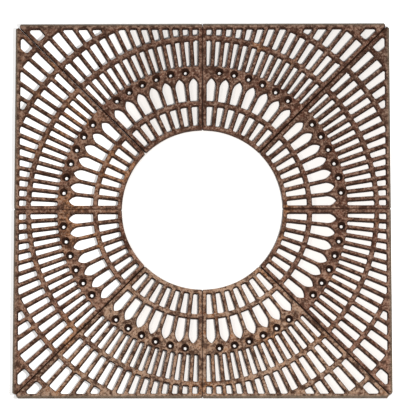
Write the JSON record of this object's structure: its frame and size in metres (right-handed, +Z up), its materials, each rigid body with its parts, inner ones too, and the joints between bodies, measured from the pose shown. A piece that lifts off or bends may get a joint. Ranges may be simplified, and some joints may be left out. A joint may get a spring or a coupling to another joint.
{
  "type": "cast iron tree grate",
  "caption": "Square cast iron tree grate round an open middle, with rings of slots, lancets and drain holes, in sections bolted together under the surface.",
  "frame": {"origin": "middle of the tree opening, on the plane that the rims and flanges stand on", "axes": "+Z up out of the ground, with the sides of the square facing +X, +Y, -X and -Y"},
  "size_m": [1.22, 1.22, 0.038],
  "materials": {
    "east_iron": "dark reddish brown rust, dry and finely pitted",
    "north_iron": "dark reddish brown rust, dry and finely pitted",
    "west_iron": "lighter brown rust with orange patches, dry and finely pitted",
    "south_iron": "lighter brown rust with orange patches, dry and finely pitted",
    "fastener_steel": "dark rusted steel"
  },
  "bodies": {
    "root": {"east_left_section": "east_iron", "east_right_section": "east_iron", "north_left_section": "north_iron", "north_right_section": "north_iron", "west_left_section": "west_iron", "west_right_section": "west_iron", "south_left_section": "south_iron", "south_right_section": "south_iron", "east_joint_inner_bolt": "fastener_steel", "east_joint_inner_washer": "fastener_steel", "east_joint_inner_nut": "fastener_steel", "east_joint_outer_bolt": "fastener_steel", "east_joint_outer_washer": "fastener_steel", "east_joint_outer_nut": "fastener_steel", "northeast_joint_inner_bolt": "fastener_steel", "northeast_joint_inner_washer": "fastener_steel", "northeast_joint_inner_nut": "fastener_steel", "northeast_joint_outer_bolt": "fastener_steel", "northeast_joint_outer_washer": "fastener_steel", "northeast_joint_outer_nut": "fastener_steel", "north_joint_inner_bolt": "fastener_steel", "north_joint_inner_washer": "fastener_steel", "north_joint_inner_nut": "fastener_steel", "north_joint_outer_bolt": "fastener_steel", "north_joint_outer_washer": "fastener_steel", "north_joint_outer_nut": "fastener_steel", "northwest_joint_inner_bolt": "fastener_steel", "northwest_joint_inner_washer": "fastener_steel", "northwest_joint_inner_nut": "fastener_steel", "northwest_joint_outer_bolt": "fastener_steel", "northwest_joint_outer_washer": "fastener_steel", "northwest_joint_outer_nut": "fastener_steel", "west_joint_inner_bolt": "fastener_steel", "west_joint_inner_washer": "fastener_steel", "west_joint_inner_nut": "fastener_steel", "west_joint_outer_bolt": "fastener_steel", "west_joint_outer_washer": "fastener_steel", "west_joint_outer_nut": "fastener_steel", "southwest_joint_inner_bolt": "fastener_steel", "southwest_joint_inner_washer": "fastener_steel", "southwest_joint_inner_nut": "fastener_steel", "southwest_joint_outer_bolt": "fastener_steel", "southwest_joint_outer_washer": "fastener_steel", "southwest_joint_outer_nut": "fastener_steel", "south_joint_inner_bolt": "fastener_steel", "south_joint_inner_washer": "fastener_steel", "south_joint_inner_nut": "fastener_steel", "south_joint_outer_bolt": "fastener_steel", "south_joint_outer_washer": "fastener_steel", "south_joint_outer_nut": "fastener_steel", "southeast_joint_inner_bolt": "fastener_steel", "southeast_joint_inner_washer": "fastener_steel", "southeast_joint_inner_nut": "fastener_steel", "southeast_joint_outer_bolt": "fastener_steel", "southeast_joint_outer_washer": "fastener_steel", "southeast_joint_outer_nut": "fastener_steel"}
  },
  "joints": []
}
